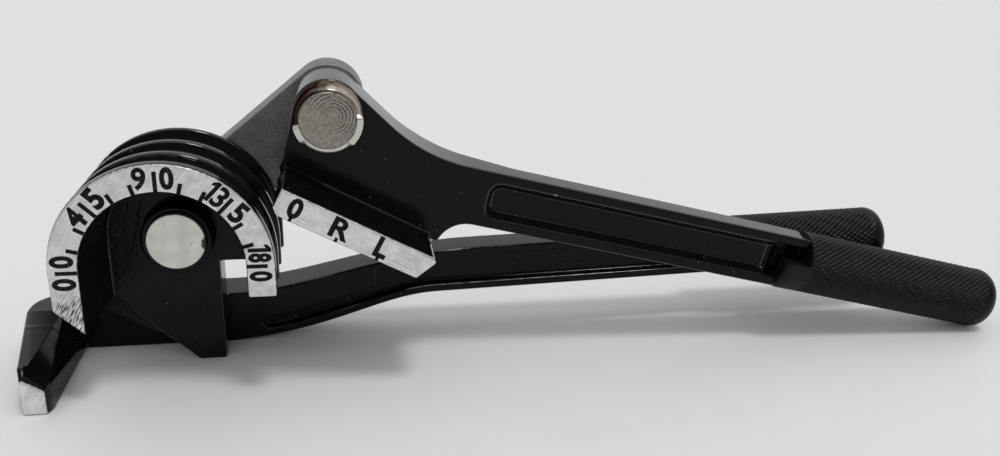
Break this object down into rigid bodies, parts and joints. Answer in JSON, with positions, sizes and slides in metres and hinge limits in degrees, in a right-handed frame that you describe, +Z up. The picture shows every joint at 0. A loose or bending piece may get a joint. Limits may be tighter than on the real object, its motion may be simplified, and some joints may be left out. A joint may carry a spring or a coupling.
{
  "type": "tube bender",
  "caption": "Hand lever tube bender with a grooved, numbered half-round die, a hook, a slide block on a long lever, a pivoting link and knurled grips.",
  "frame": {"origin": "on the base plane, under the die axis, in the middle of the handle plate's thickness", "axes": "+X along the lower handle, +Y from the numbered face to the back, +Z up"},
  "size_m": [0.2693, 0.0497, 0.0759],
  "materials": {
    "black_paint": "gloss black paint on cast aluminium, bare machined faces",
    "link_paint": "worn satin black paint with bare edges",
    "grip": "matte black, finely knurled",
    "pin_steel": "turned satin steel",
    "dark_collar": "blackened steel, polished by wear",
    "bush": "plain turned bronze",
    "washer": "plain stamped steel"
  },
  "bodies": {
    "base": {"die_handle": "black_paint", "handle_grip": "grip", "die_pin": "pin_steel", "die_pin_collar": "dark_collar", "die_thrust_washer": "washer", "die_rear_washer": "washer"},
    "link_arm": {"link": "link_paint", "link_die_bush": "bush", "link_lever_bush": "bush"},
    "lever_arm": {"slide_lever": "black_paint", "lever_grip": "grip", "lever_pin": "pin_steel", "lever_pin_collar": "dark_collar", "lever_thrust_washer": "washer", "lever_rear_washer": "washer"}
  },
  "joints": [
    {"name": "link_swing", "type": "hinge", "parent": "base", "child": "link_arm", "pos_m": [0, 0, 0.0353], "axis": [0, -1, 0], "range_deg": [-38, 142]},
    {"name": "lever_swing", "type": "hinge", "parent": "link_arm", "child": "lever_arm", "pos_m": [0.03799, 0, 0.06673], "axis": [0, -1, 0], "range_deg": [-24, 120]}
  ]
}
